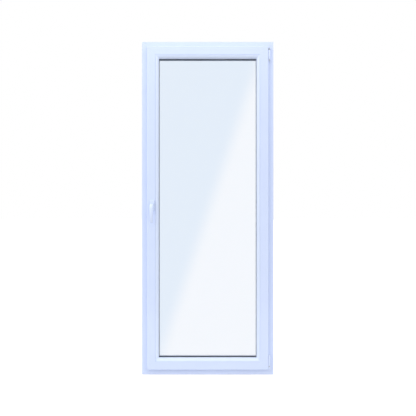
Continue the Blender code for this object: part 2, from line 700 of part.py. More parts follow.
def build_bottom_hinge():
    z = TILT_AXIS_HEIGHT
    jamb = WIDTH / 2 - FRAME_REBATE
    knuckle_top = z + 0.0156
    bearing = knuckle_plate(
        "bottom_hinge_bearing", (z + 0.001, knuckle_top), (-LIP_GAP + 0.0012, -GAP),
        (jamb - GAP - 0.002, jamb - GAP), "coated",
    )
    join(bearing, barrel("bottom_knuckle", BARREL_RADIUS, z + 0.001, knuckle_top))
    carve(bearing, barrel("bottom_cup", PIN_RADIUS + 0.0008, z + 0.004, knuckle_top + 0.01))
    collar, sleeve, sleeve_top = knuckle_top + 0.0008, knuckle_top + 0.0060, 0.130
    collar_top, pin_top, pin_foot = sleeve - 0.0004, sleeve_top - 0.004, z + 0.0055
    collar_radius, tip_radius = 0.0050, 0.0020
    profile = [(0.0, pin_top), (PIN_RADIUS, pin_top), (PIN_RADIUS, collar_top)]
    profile += [(collar_radius, collar_top), (collar_radius, collar), (tip_radius, collar)]
    profile += [(tip_radius, pin_foot), (0.0, pin_foot)]
    pin = turned("bottom_pivot_pin", profile, "steel")
    pin.location = (HINGE_X, HINGE_Y, 0.0)
    stile = WIDTH / 2 - SASH_REBATE
    hinge = knuckle_plate(
        "bottom_corner_hinge", (sleeve, sleeve_top), (-LIP_GAP + 0.0006, -LIP_GAP + 0.0026),
        (stile + GAP, stile + GAP + 0.0022), "coated",
    )
    join(hinge, barrel("sleeve", BARREL_RADIUS, sleeve, sleeve_top))
    carve(hinge, barrel("sleeve_bore", PIN_RADIUS + GAP, sleeve - 0.01, sleeve_top - 0.003))


def build_stay():
    """The tilt stay: an arm from the top hinge's axis to a shoe that slides in the top rail's groove."""
    groove_y = ROOM_FACE + GROOVE_AXIS
    rail_top = HEIGHT - SASH_REBATE
    shoe_x = HINGE_X - STAY_LENGTH
    half_rod = CHANNEL_WIDTH / 2 - GAP
    edge = PIN_RADIUS + GAP
    slot = box_loop(-edge, edge, shoe_x - edge, shoe_x + 0.040)
    half_length = WIDTH / 2 - GLAZING_REBATE - FACEPLATE_SHORT
    faceplate("top_faceplate", "head", [plate_loop(half_length), slot])
    shoe_top = HEIGHT - ROD_FACE
    shoe = block(
        "stay_shoe", (shoe_x - 0.018, groove_y - half_rod, shoe_top - 0.0030),
        (shoe_x + 0.018, groove_y + half_rod, shoe_top), "steel",
    )
    arm_low, arm_high = rail_top + 0.0004, rail_top + 0.0028
    pin_ends = ((shoe_x, groove_y, shoe_top - 0.0015), (shoe_x, groove_y, arm_high + 0.0015))
    join(shoe, cylinder("stay_shoe_pin", PIN_RADIUS, *pin_ends, "steel", cutters))
    arm_end = WIDTH / 2 - FRAME_REBATE - STAY_DRIFT
    half_arm = 0.007
    arm = block(
        "tilt_stay_arm", (shoe_x - 0.009, groove_y - half_arm, arm_low),
        (arm_end, groove_y + half_arm, arm_high), "steel",
    )
    lip_back = ROOM_FACE - LIP_GAP
    plate = (lip_back + 0.0006, lip_back + 0.0026)
    eye_high = arm_low + 0.0102
    web_end = HINGE_X + WEB_PAST_AXIS
    pieces = (
        ("stay_tab", (arm_end - 0.012, plate[0], arm_low), (arm_end, groove_y, arm_high)),
        ("stay_plate", (arm_end - 0.012, plate[0], arm_low), (web_end, plate[1], eye_high)),
        ("stay_web", (HINGE_X - WEB_BEFORE_AXIS, HINGE_Y, arm_low), (web_end, plate[1], eye_high)),
    )
    for name, low, high in pieces:
        join(arm, block(name, low, high, "steel", cutters))
    join(arm, barrel("stay_eye", BARREL_RADIUS - 0.0003, arm_low, eye_high))
    hole_ends = ((shoe_x, groove_y, arm_low - 0.002), (shoe_x, groove_y, arm_high + 0.002))
    carve(arm, cylinder("stay_shoe_hole", PIN_RADIUS + GAP, *hole_ends, "steel", cutters))


build_frame()
build_sash()
build_glazing()
build_lock_side()
build_bottom_rod()
build_gearbox()
build_handle()
build_top_hinge()
build_bottom_hinge()
build_stay()
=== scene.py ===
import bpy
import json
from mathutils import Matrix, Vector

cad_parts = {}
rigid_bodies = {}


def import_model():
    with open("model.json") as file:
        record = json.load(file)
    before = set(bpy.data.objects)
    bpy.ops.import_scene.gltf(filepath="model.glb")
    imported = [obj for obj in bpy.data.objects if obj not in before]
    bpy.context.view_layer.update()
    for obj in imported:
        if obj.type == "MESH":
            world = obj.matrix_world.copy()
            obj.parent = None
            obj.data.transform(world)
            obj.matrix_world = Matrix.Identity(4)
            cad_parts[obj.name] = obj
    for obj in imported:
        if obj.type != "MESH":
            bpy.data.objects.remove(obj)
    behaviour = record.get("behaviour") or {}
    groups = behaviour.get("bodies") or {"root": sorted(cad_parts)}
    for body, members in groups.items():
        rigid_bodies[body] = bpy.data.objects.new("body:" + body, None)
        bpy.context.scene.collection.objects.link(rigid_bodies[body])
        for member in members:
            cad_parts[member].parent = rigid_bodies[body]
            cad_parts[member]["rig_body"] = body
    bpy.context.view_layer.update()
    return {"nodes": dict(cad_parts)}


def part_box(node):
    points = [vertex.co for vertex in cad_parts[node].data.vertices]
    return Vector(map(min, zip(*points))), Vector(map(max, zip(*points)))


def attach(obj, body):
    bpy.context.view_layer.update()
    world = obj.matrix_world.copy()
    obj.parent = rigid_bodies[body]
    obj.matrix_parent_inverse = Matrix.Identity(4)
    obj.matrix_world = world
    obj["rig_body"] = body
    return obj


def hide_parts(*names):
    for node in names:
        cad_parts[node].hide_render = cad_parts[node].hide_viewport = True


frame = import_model()

import json
import math

import bmesh
import bpy
import numpy as np

# Fixed frame. Four lengths of white uPVC profile, extruded through a polished die, cut at 45 degrees and
# welded at the corners. The weld is trimmed to a fine V along each mitre. The section has a rebate for the
# sash, a weather leg with a groove for its seal, and a shallow recess round the outside for the foam.

mm = 0.001
clearance = 0.3 * mm
left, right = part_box("frame_lock_jamb")[0][0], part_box("frame_hinge_jamb")[1][0]
bottom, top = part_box("frame_sill")[0][2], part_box("frame_head")[1][2]
room_face, weather_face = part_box("frame_head")[0][1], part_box("frame_head")[1][1]
width, height, depth = right - left, top - bottom, weather_face - room_face
middle_x, middle_z = (left + right) / 2, (top + bottom) / 2


def spans(node):
    """Lowest and highest u and v of a lock-side node: u runs in from the edge, v outdoors from the room."""
    low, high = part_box(node)
    return low[0] - left, high[0] - left, low[1] - room_face, high[1] - room_face


rebate = spans("lock_keep_upper")[0] - clearance
leg_tip = spans("frame_lock_jamb")[1]
leg_face = spans("frame_weather_gasket")[3] + clearance


def rounded(corners, radii, steps=5, support=0.15):
    """A closed outline, in millimetres, with an arc of its own radius at each corner.

    Each arc runs between the two points where it touches the straight edges, and turns the radius from the
    first touching point to the second. A support point beside each end keeps the flats flat when shaded.
    """
    corner = np.array(corners, float)
    radius = np.broadcast_to(np.array(radii, float), len(corner))[:, None]
    back = np.roll(corner, 1, 0) - corner
    ahead = np.roll(corner, -1, 0) - corner
    back /= np.linalg.norm(back, axis=1, keepdims=True)
    ahead /= np.linalg.norm(ahead, axis=1, keepdims=True)
    half = np.arccos(np.clip((back * ahead).sum(1), -1, 1))[:, None] / 2
    touch = radius / np.tan(half)
    inward = back + ahead
    inward /= np.linalg.norm(inward, axis=1, keepdims=True)
    centre = corner + inward * radius / np.sin(half)
    start, stop = corner + back * touch - centre, corner + ahead * touch - centre
    sweep = (math.pi - 2 * half)[:, :, None]
    t = np.linspace(0, 1, steps + 1)[None, :, None]
    turned = (np.sin((1 - t) * sweep) * start[:, None] + np.sin(t * sweep) * stop[:, None]) / np.sin(sweep)
    before = (corner + back * (touch + support))[:, None]
    after = (corner + ahead * (touch + support))[:, None]
    return np.concatenate([before, centre[:, None] + turned, after], axis=1).reshape(-1, 2) * mm


def outward(outline):
    """The unit normals of a closed outline: each point's tangent turned a quarter, away from the inside."""
    along = np.roll(outline, -1, 0) - np.roll(outline, 1, 0)
    along /= np.linalg.norm(along, axis=1, keepdims=True)
    u, v = outline.T
    area = (u * np.roll(v, -1) - v * np.roll(u, -1)).sum() / 2
    return np.stack([along[:, 1], -along[:, 0]], axis=1) * np.sign(area)


def lay(u, v, along, side):
    """Places u, v and the way along one side of the window."""
    y = room_face + v
    if side == "lock":
        return np.stack([left + u, y, middle_z + along], -1)
    if side == "hinge":
        return np.stack([right - u, y, middle_z - along], -1)
    if side == "sill":
        return np.stack([middle_x - along, y, bottom + u], -1)
    return np.stack([middle_x + along, y, top - u], -1)


def surface(name, points, faces, body, material, sharp=32.0):
    """A closed mesh piece on a body, facing out, and smooth except across edges sharper than the angle."""
    mesh = bpy.data.meshes.new(name)
    mesh.from_pydata(np.asarray(points).reshape(-1, 3).tolist(), [], faces)
    shell = bmesh.new()
    shell.from_mesh(mesh)
    bmesh.ops.recalc_face_normals(shell, faces=shell.faces)
    shell.to_mesh(mesh)
    shell.free()
    mesh.shade_smooth()
    mesh.set_sharp_from_angle(angle=math.radians(sharp))
    mesh.materials.append(material)
    piece = bpy.data.objects.new(name, mesh)
    bpy.context.scene.collection.objects.link(piece)
    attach(piece, body)
    return piece


def strips(rows, columns, close_rows=False):
    """Quads of a grid of points whose columns run round and join up, and whose rows may."""
    r, c = np.meshgrid(np.arange(rows if close_rows else rows - 1), np.arange(columns), indexing="ij")
    r2, c2 = (r + 1) % rows, (c + 1) % columns
    quads = np.stack([r * columns + c, r * columns + c2, r2 * columns + c2, r2 * columns + c], -1)
    return quads.reshape(-1, 4).tolist()


def capped(rows, columns):
    """The same grid with a flat cap on its first and its last ring."""
    last = (rows - 1) * columns
    return strips(rows, columns) + [list(range(columns)), list(range(last, last + columns))]


def mitred(name, side, outline, body, slot, material, gap, weld):
    """A length of profile along one side with 45 degree ends.

    A point is the outline carried along the side. At each end the rings in weld stand back from the mitre by
    their first number, and the outline there is drawn in by the second, which leaves the trimmed V.
    """
    length = height if side in ("lock", "hinge") else width
    normal = outward(outline)
    back, drawn_in = np.array(weld).T
    ring = outline[None] - normal[None] * drawn_in[:, None, None]
    reach = length / 2 - ring[:, :, 0] - gap - back[:, None]
    starts = lay(ring[:, :, 0], ring[:, :, 1], -reach, side)
    ends = lay(ring[::-1, :, 0], ring[::-1, :, 1], reach[::-1], side)
    points = np.concatenate([starts, ends])
    return surface(name, points, capped(*points.shape[:2]), body, material)


def linear(colour):
    """An sRGB hex colour as linear red, green, blue and alpha."""
    parts = [int(colour[i:i + 2], 16) / 255 for i in (1, 3, 5)]
    return [p / 12.92 if p <= 0.04045 else ((p + 0.055) / 1.055) ** 2.4 for p in parts] + [1.0]


def add(material, kind, links=None, **settings):
    """Adds a node. links gives each input's value, or the (node, output) that feeds it."""
    tree = material.node_tree
    made = tree.nodes.new(kind)
    for key, value in settings.items():
        setattr(made, key, value)
    for socket, value in (links or {}).items():
        if isinstance(value, tuple) and isinstance(value[0], bpy.types.Node):
            tree.links.new(value[0].outputs[value[1]], made.inputs[socket])
        else:
            made.inputs[socket].default_value = value
    return made


def finish(name, colour="#ffffff", **sockets):
    """A material with a Principled shader, and that shader. Sockets are named with _ for each space."""
    material = bpy.data.materials.new(name)
    material.use_nodes = True
    shader = material.node_tree.nodes["Principled BSDF"]
    shader.inputs["Base Color"].default_value = linear(colour)
    for socket, value in sockets.items():
        shader.inputs[socket.replace("_", " ").title().replace("Ior", "IOR")].default_value = value
    return material, shader


def feed(material, source, output, target, socket):
    """Links a node's output to another node's input."""
    material.node_tree.links.new(source.outputs[output], target.inputs[socket])


def blended(material, shader, source, dark, light):
    """The base colour drawn between two sRGB colours by a pattern."""
    mix = add(material, "ShaderNodeMix", {0: source, 6: linear(dark), 7: linear(light)}, data_type="RGBA")
    feed(material, mix, 2, shader, "Base Color")


def white_upvc(name, stretch, shades=("#cedbfb", "#d4e1fd")):
    """White rigid PVC: a satin skin, cool white, with the die's faint draw lines along each length.

    stretch scales the line pattern down along the profile, so a line runs the whole length. The mottle, some
    110 mm across, keeps large faces from looking painted, and the 1.4 mm grain softens the reflections. Both
    are drawn coarser than the real skin's, so that they show.
    """
    material, shader = finish(name, ior=1.53, roughness=0.34)
    place = add(material, "ShaderNodeTexCoord")
    mottle = add(material, "ShaderNodeTexNoise", {"Vector": (place, "Object"), "Scale": 9.0, "Detail": 3.0})
    blended(material, shader, (mottle, 0), *shades)
    drawn = add(material, "ShaderNodeMapping", {"Vector": (place, "Object"), "Scale": stretch})
    lines = add(material, "ShaderNodeTexNoise", {"Vector": (drawn, 0), "Scale": 900.0, "Detail": 2.0})
    grain = add(material, "ShaderNodeTexNoise", {"Vector": (place, "Object"), "Scale": 700.0, "Detail": 2.0})
    both = add(material, "ShaderNodeMath", {0: (lines, 0), 1: (grain, 0)}, operation="ADD")
    rough = add(material, "ShaderNodeMapRange", {0: (mottle, 0), 3: 0.30, 4: 0.40})
    feed(material, rough, 0, shader, "Roughness")
    bump = add(material, "ShaderNodeBump", {"Height": (both, 0), "Strength": 0.12, "Distance": 0.04 * mm})
    feed(material, bump, 0, shader, "Normal")
    return material


upvc_upright = white_upvc("extruded_upvc_upright", (1.0, 1.0, 0.01))
upvc_level = white_upvc("extruded_upvc_level", (0.01, 1.0, 1.0))
UPVC = {"lock": upvc_upright, "hinge": upvc_upright, "sill": upvc_level, "head": upvc_level}
# The last pair of each weld repeats the full outline, which keeps the long faces flat when shaded.
WELDED = {
    "gap": 0.02 * mm, "weld": ((0.0, 0.5 * mm), (0.5 * mm, 0.2 * mm), (1.1 * mm, 0.0), (1.6 * mm, 0.0)),
}

re, lf, lt, fd = rebate / mm, leg_face / mm, leg_tip / mm, depth / mm
frame_outline = rounded(
    [
        (0, 0), (re, 0), (re, 40), (re - 1.5, 41), (re - 1.5, 50), (re, 51), (re, lf), (lt - 6.5, lf),
        (lt - 6.5, lf + 2.2), (lt - 2.5, lf + 2.2), (lt - 2.5, lf), (lt, lf), (lt, fd - 5), (lt - 2.5, fd),
        (0, fd), (0, fd - 10), (2, fd - 12), (2, 24), (0, 22),
    ],
    [0.8, 1.6, 0.3, 0.3, 0.3, 0.3, 0.4, 0.2, 0.2, 0.2, 0.2, 0.7, 1.5, 2.2, 0.8, 0.4, 0.4, 0.4, 0.4],
)
FRAME_SIDES = {
    "lock": "frame_lock_jamb", "hinge": "frame_hinge_jamb", "sill": "frame_sill", "head": "frame_head",
}
for side, node in FRAME_SIDES.items():
    piece = mitred(f"{node}_profile", side, frame_outline, "frame", "upvc", UPVC[side], **WELDED)
    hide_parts(node)

# Steel bars. Box sections rolled from galvanised strip and screwed inside each profile's main chamber. The
# zinc has frozen into flat crystals a few millimetres across, some brighter than others.

galvanised, galvanised_shader = finish("galvanised_steel", metallic=1.0, roughness=0.4)
place = add(galvanised, "ShaderNodeTexCoord")
spangle = add(galvanised, "ShaderNodeTexVoronoi", {"Vector": (place, "Object"), "Scale": 120.0})
shade = add(galvanised, "ShaderNodeSeparateColor", {0: (spangle, "Color")})
blended(galvanised, galvanised_shader, (shade, 0), "#9aa1a8", "#c3c8cd")
dull = add(galvanised, "ShaderNodeMapRange", {0: (shade, 1), 3: 0.32, 4: 0.52})
feed(galvanised, dull, 0, galvanised_shader, "Roughness")


def eased(node, edge, material, angle=30.0):
    """A copy of a node's solid whose flat faces are whole again and whose hard edges are rounded.

    The triangles are merged, those that lie in one plane become one face, and a bevel of the given width
    rounds each edge that is sharper than the angle.
    """
    solid = bmesh.new()
    solid.from_mesh(frame["nodes"][node].data)
    bmesh.ops.remove_doubles(solid, verts=solid.verts, dist=0.002 * mm)
    bmesh.ops.dissolve_limit(solid, angle_limit=math.radians(0.5), verts=solid.verts, edges=solid.edges)
    mesh = bpy.data.meshes.new(f"{node}_eased")
    solid.to_mesh(mesh)
    solid.free()
    mesh.shade_smooth()
    mesh.set_sharp_from_angle(angle=math.radians(angle))
    mesh.materials.append(material)
    piece = bpy.data.objects.new(f"{node}_eased", mesh)
    bpy.context.scene.collection.objects.link(piece)
    rounding = piece.modifiers.new("eased_edges", "BEVEL")
    rounding.width = edge
    rounding.segments = 2
    rounding.limit_method = "ANGLE"
    rounding.angle_limit = math.radians(angle)
    rounding.harden_normals = True
    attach(piece, frame["nodes"][node]["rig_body"])
    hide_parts(node)
    return piece


SASH_SIDES = {
    "lock": "sash_lock_stile", "hinge": "sash_hinge_stile",
    "sill": "sash_bottom_rail", "head": "sash_top_rail",
}
for node in (*FRAME_SIDES.values(), *SASH_SIDES.values()):
    eased(f"{node}_steel", 0.4 * mm, galvanised)

# Sash. Four lengths of the same uPVC, welded in the same way. A rounded lip laps over the frame's room face,
# the groove round its edge carries the lock's rods and faceplates, and the rebate inside it holds the glass.

lip_edge, _, sash_front, sash_back = spans("sash_lock_stile")
sash_rebate = spans("lock_side_faceplate")[0] - clearance
bead_root, sight_line, bead_face, bead_back = spans("bead_lock_side")
glazing_rebate = bead_root - clearance
lip_back = spans("sash_lip_gasket")[2] - clearance
unit_face, unit_back = spans("inner_pane")[2], spans("outer_pane")[3]
sash_leg_face = spans("outer_glazing_gasket")[3] + clearance
groove_axis = sum(spans("gearbox_case")[2:]) / 2

le, sr, gr, sl = lip_edge / mm, sash_rebate / mm, glazing_rebate / mm, sight_line / mm
front, back, leg = sash_front / mm, sash_back / mm, sash_leg_face / mm
lb, ga = lip_back / mm, groove_axis / mm
sash_outline = rounded(
    [
        (le, front), (gr, front), (gr, leg), (sl, leg), (sl, back - 5), (sl - 3, back), (sr, back),
        (sr, ga + 8.3), (sr + 3.2, ga + 8.3), (sr + 3.2, ga + 6.3), (sr + 7, ga + 6.3), (sr + 7, ga - 6.3),
        (sr + 3.2, ga - 6.3), (sr + 3.2, ga - 8.3), (sr, ga - 8.3), (sr, lb), (le, lb),
    ],
    [4.5, 0.6, 0.3, 0.5, 1.8, 2.2, 1.2, 0.3, 0.2, 0.2, 0.2, 0.2, 0.2, 0.2, 0.3, 0.3, 1.0], steps=7,
)
for side, node in SASH_SIDES.items():
    piece = mitred(f"{node}_profile", side, sash_outline, "sash", "upvc", UPVC[side], **WELDED)
    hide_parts(node)

# Glass. Two panes of clear float glass, ground to a small arris all round, held apart by an aluminium spacer
# and set on polypropylene blocks. The low-iron tint is faint and cool, and the float bath leaves the faces
# very slightly wavy.

clear, clear_shader = finish("clear_float_glass", "#f6fafe", roughness=0.0, ior=1.5, transmission_weight=1.0)
place = add(clear, "ShaderNodeTexCoord")
wave = add(clear, "ShaderNodeTexNoise", {"Vector": (place, "Object"), "Scale": 3.0, "Detail": 0.0})
bump = add(clear, "ShaderNodeBump", {"Height": (wave, 0), "Strength": 0.05, "Distance": 0.02 * mm})
feed(clear, bump, 0, clear_shader, "Normal")
for node in ("inner_pane", "outer_pane"):
    eased(node, 0.5 * mm, clear)

spacer_alloy, spacer_shader = finish("rolled_aluminium_spacer", metallic=1.0, roughness=0.35)
place = add(spacer_alloy, "ShaderNodeTexCoord")
pores = add(
    spacer_alloy, "ShaderNodeTexVoronoi", {"Vector": (place, "Object"), "Scale": 250.0, "Randomness": 0.0}
)
open_pore = add(spacer_alloy, "ShaderNodeMapRange", {0: (pores, 0), 1: 0.10, 2: 0.14})
blended(spacer_alloy, spacer_shader, (open_pore, 0), "#3c4046", "#c6cace")
eased("spacer_frame", 0.4 * mm, spacer_alloy)

block_plastic, block_shader = finish("moulded_polypropylene", roughness=0.5)
place = add(block_plastic, "ShaderNodeTexCoord")
cloud = add(block_plastic, "ShaderNodeTexNoise", {"Vector": (place, "Object"), "Scale": 90.0})
blended(block_plastic, block_shader, (cloud, 0), "#2b3038", "#383e48")
for node in ("setting_block_hinge_side", "setting_block_lock_side", "setting_block_lock_stile"):
    eased(node, 0.4 * mm, block_plastic)

# Beads. Four snap-in lengths of uPVC with a soft round face. They are mitred dry, so a hairline joint shows
# at each corner. From the shoulder to the nose the face is a quarter of a superellipse: it goes in as sin^p
# and back as 1 - cos^p. A power above 1 draws the round towards a chamfer.

bead_shoulder = bead_root + 2.0 * mm
bead_nose = bead_face + 14.0 * mm
bead_power = 1.43
quarter = np.linspace(0, math.pi / 2, 25)
bead_curve = np.stack([
    bead_shoulder + (sight_line - bead_shoulder) * np.sin(quarter) ** bead_power,
    bead_nose - (bead_nose - bead_face) * np.cos(quarter) ** bead_power,
], 1)
bead_foot = np.array([
    (sight_line, bead_back - 4 * mm), (sight_line - 0.6 * mm, bead_back - 0.8 * mm),
    (sight_line - 2 * mm, bead_back), (bead_root, bead_back), (bead_root, bead_face + 1.2 * mm),
    (bead_root + 0.25 * mm, bead_face + 0.35 * mm), (bead_root + 0.9 * mm, bead_face),
])
bead_outline = np.concatenate([bead_curve, bead_foot])
BEAD_SIDES = {"lock": "bead_lock_side", "hinge": "bead_hinge_side", "sill": "bead_bottom", "head": "bead_top"}
DRY = {"gap": 0.12 * mm, "weld": ((0.0, 0.1 * mm), (0.2 * mm, 0.0), (0.4 * mm, 0.0))}
# The beads' shades are painted a little lighter than the frame's and sash's uPVC. This painted light stands
# in for the light that their round faces catch.
BEAD_SHADES_PAINTED_LIGHTER = ("#d5e1fb", "#dbe7fd")
bead_upright = white_upvc("extruded_bead_upright_painted_lighter", (1.0, 1.0, 0.01), BEAD_SHADES_PAINTED_LIGHTER)
bead_level = white_upvc("extruded_bead_level_painted_lighter", (0.01, 1.0, 1.0), BEAD_SHADES_PAINTED_LIGHTER)
BEAD = {"lock": bead_upright, "hinge": bead_upright, "sill": bead_level, "head": bead_level}
for side, node in BEAD_SIDES.items():
    piece = mitred(f"{node}_profile", side, bead_outline, "sash", "upvc", BEAD[side], **DRY)
    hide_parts(node)

# Seals. Black EPDM rubber, extruded and vulcanised at the corners, so each runs round as one closed loop:
# one each side of the glass, and a bubble seal in the frame's weather leg. The lip's own seal is grey TPE.


def looped(name, outline, body, material, node):
    """A seal's outline carried round all four sides, square on the mitres, in place of a CAD node."""
    u, v = outline.T
    x, z = width / 2 - u, height / 2 - u
    across, up = np.array([(-1, -1), (1, -1), (1, 1), (-1, 1)]).T[:, :, None]
    y = np.broadcast_to(room_face + v, (4, len(u)))
    points = np.stack([middle_x + across * x, y, middle_z + up * z], -1)
    piece = surface(name, points, strips(4, len(u), close_rows=True), body, material)
    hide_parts(node)


def rubber(name, shades, roughness):
    """Extruded rubber: matt, with a powdery bloom that lightens it in patches some 15 mm across."""
    material, shader = finish(name, roughness=roughness, ior=1.5)
    place = add(material, "ShaderNodeTexCoord")
    bloom = add(material, "ShaderNodeTexNoise", {"Vector": (place, "Object"), "Scale": 60.0, "Detail": 4.0})
    blended(material, shader, (bloom, 0), *shades)
    skin = add(material, "ShaderNodeTexNoise", {"Vector": (place, "Object"), "Scale": 1500.0, "Detail": 2.0})
    bump = add(material, "ShaderNodeBump", {"Height": (skin, 0), "Strength": 0.3, "Distance": 0.05 * mm})
    feed(material, bump, 0, shader, "Normal")
    return material


black_epdm = rubber("extruded_epdm_rubber", ("#1c2232", "#293146"), 0.62)
grey_tpe = rubber("coextruded_grey_tpe", ("#9aa3b4", "#a6aebe"), 0.55)

glass_seal_root = sl - 4
ug, bb = unit_face / mm, bead_back / mm
inner_seal = rounded([
    (glass_seal_root, bb + 0.6), (sl - 0.5, bb + 0.5), (sl + 0.4, bb + 0.9), (sl + 1.4, ug - 1.0),
    (sl + 1.4, ug - 0.3), (glass_seal_root, ug - 0.3),
], [0.3, 0.3, 0.6, 0.3, 0.2, 0.3], steps=4, support=0.05)
looped("inner_glazing_seal", inner_seal, "sash", black_epdm, "inner_glazing_gasket")
ub, lg = unit_back / mm, sash_leg_face / mm
outer_seal = rounded([
    (glass_seal_root, lg - 0.5), (sl - 1.6, lg - 0.5), (sl - 1.0, ub + 0.9), (sl - 1.0, ub + 0.3),
    (glass_seal_root, ub + 0.3),
], [0.3, 0.4, 0.3, 0.2, 0.3], steps=4, support=0.05)
looped("outer_glazing_seal", outer_seal, "sash", black_epdm, "outer_glazing_gasket")
bubble = rounded([
    (lt - 6.3, lf + 2.0), (lt - 2.7, lf + 2.0), (lt - 2.7, lf - 0.3), (lt - 1.3, lf - 1.8),
    (lt - 2.6, back + 0.35), (lt - 5.6, back + 0.35), (lt - 6.9, lf - 1.8), (lt - 6.3, lf - 0.3),
], [0.3, 0.3, 0.2, 0.8, 0.9, 0.9, 0.8, 0.2], steps=5, support=0.05)
looped("frame_bubble_seal", bubble, "frame", black_epdm, "frame_weather_gasket")
for node in ("sash_lip_gasket", "sash_lip_gasket_hinge_side"):
    eased(node, 0.7 * mm, grey_tpe)

# Drain caps. Small hoods of white moulded ASA that clip over the frame's drain slots on the outside.

moulded_asa, asa_shader = finish("moulded_white_asa", "#dbe4f4", roughness=0.42)
place = add(moulded_asa, "ShaderNodeTexCoord")
spark = add(moulded_asa, "ShaderNodeTexNoise", {"Vector": (place, "Object"), "Scale": 1200.0, "Detail": 2.0})
bump = add(moulded_asa, "ShaderNodeBump", {"Height": (spark, 0), "Strength": 0.25, "Distance": 0.05 * mm})
feed(moulded_asa, bump, 0, asa_shader, "Normal")


def drain_cap(node):
    """A hood: rings of a rounded oblong, drawn in towards its face, from (drawn in, out) in millimetres."""
    low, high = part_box(node)
    centre = [(a + b) / 2 for a, b in zip(low, high)]
    half_x, half_z = (high[0] - low[0]) / 2 / mm, (high[2] - low[2]) / 2 / mm
    out = (high[1] - low[1]) / mm
    plan = rounded([(-half_x, -half_z), (half_x, -half_z), (half_x, half_z), (-half_x, half_z)], 3.5)
    drawn_in, rise = np.array([(0, 0), (0, 1.2), (0.3, 2.6), (1.2, out - 0.9), (2.4, out)]).T * mm
    ring = plan[None] - outward(plan)[None] * drawn_in[:, None, None]
    ring[3:, :, 1] += 0.5 * mm
    y = np.broadcast_to(low[1] + rise[:, None], ring.shape[:2])
    points = np.stack([centre[0] + ring[:, :, 0], y, centre[2] + ring[:, :, 1]], -1)
    piece = surface(f"{node}_hood", points, capped(*points.shape[:2]), "frame", moulded_asa)
    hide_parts(node)


drain_cap("drain_cap_lock_side")
drain_cap("drain_cap_hinge_side")

# Lock and rods. Steel strip and pressings, zinc plated and clear passivated to a soft silver, with the
# rolling marks running along each strip. The keeps are held by countersunk screws.


def plated(name, shades, stretch, roughness=(0.26, 0.40)):
    """Zinc plate over rolled strip: fine lines along the strip and cloudy patches in the passivated skin."""
    material, shader = finish(name, metallic=1.0)
    place = add(material, "ShaderNodeTexCoord")
    drawn = add(material, "ShaderNodeMapping", {"Vector": (place, "Object"), "Scale": stretch})
    lines = add(material, "ShaderNodeTexNoise", {"Vector": (drawn, 0), "Scale": 1600.0, "Detail": 3.0})
    cloud = add(material, "ShaderNodeTexNoise", {"Vector": (place, "Object"), "Scale": 45.0, "Detail": 3.0})
    blended(material, shader, (cloud, 0), *shades)
    rough = add(material, "ShaderNodeMapRange", {0: (lines, 0), 3: roughness[0], 4: roughness[1]})
    feed(material, rough, 0, shader, "Roughness")
    bump = add(material, "ShaderNodeBump", {"Height": (lines, 0), "Strength": 0.2, "Distance": 0.02 * mm})
    feed(material, bump, 0, shader, "Normal")
    return material


SILVER = ("#aab0b8", "#c9cdd3")
zinc_upright = plated("zinc_plated_strip_upright", SILVER, (1.0, 1.0, 0.02))
zinc_level = plated("zinc_plated_strip_level", SILVER, (0.02, 1.0, 1.0))
zinc_turned = plated("zinc_plated_turned_steel", SILVER, (1.0, 1.0, 1.0))

for node in ("lock_side_faceplate", "lock_side_drive_rod", "lock_keep_upper", "lock_keep_middle",
             "lock_keep_lower", "gearbox_case"):
    eased(node, 0.3 * mm, zinc_upright)
for node in ("bottom_faceplate", "bottom_drive_rod", "tilt_keep", "top_faceplate", "stay_shoe"):
    eased(node, 0.3 * mm, zinc_level)
for node in ("lock_cam_upper", "lock_cam_middle", "lock_cam_lower", "tilt_cam", "drive_pinion",
             "handle_spindle", "rosette_screw_top", "rosette_screw_bottom"):
    eased(node, 0.15 * mm, zinc_turned)


def turned(profile, foot, axis, sides=20):
    """Points of a turned piece: (radius, rise) pairs in millimetres, spun about an axis from a foot point."""
    radius, rise = np.array(profile).T * mm
    along = np.array(axis, float)
    across = np.cross(along, (0.0, 0.0, 1.0) if abs(along[2]) < 0.5 else (1.0, 0.0, 0.0))
    aside = np.cross(along, across)
    angle = np.linspace(0, 2 * math.pi, sides, endpoint=False)
    spoke = np.cos(angle)[:, None] * across + np.sin(angle)[:, None] * aside
    return np.array(foot) + radius[:, None, None] * spoke[None] + rise[:, None, None] * along


SCREW_HEAD = [
    (2.6, 0.0), (3.0, 0.12), (3.0, 0.3), (2.5, 0.75), (1.6, 0.98), (1.25, 1.0), (0.9, 0.55), (0.25, 0.3),
]


def screws(name, feet, axis, body):
    """A row of raised countersunk heads with a driver recess, each standing just off the face it holds."""
    heads = np.stack([turned(SCREW_HEAD, foot, axis) for foot in feet])
    count, rows, sides = heads.shape[:3]
    one = capped(rows, sides)
    faces = [[index + k * rows * sides for index in face] for k in range(count) for face in one]
    surface(name, heads, faces, body, zinc_turned)


hair = 0.05 * mm
keep_plate = 1.6 * mm
screw_inset = 6 * mm
keep_face = left + spans("lock_keep_upper")[0] + keep_plate + hair
keep_line = room_face + groove_axis + 4.5 * mm
for level in ("upper", "middle", "lower"):
    low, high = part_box(f"lock_keep_{level}")
    feet = [(keep_face, keep_line, low[2] + screw_inset), (keep_face, keep_line, high[2] - screw_inset)]
    screws(f"lock_keep_{level}_screws", feet, (1, 0, 0), "frame")
low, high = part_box("tilt_keep")
keep_top = low[2] + keep_plate + hair
feet = [(low[0] + screw_inset, keep_line, keep_top), (high[0] - screw_inset, keep_line, keep_top)]
screws("tilt_keep_screws", feet, (0, 0, 1), "frame")

# Handle. A cast zinc lever with a round neck that bends down into a flat, tapered grip, powder coated white.
# Its neck turns in a snap-on cover, which hides the two screws that hold the handle to the stile.


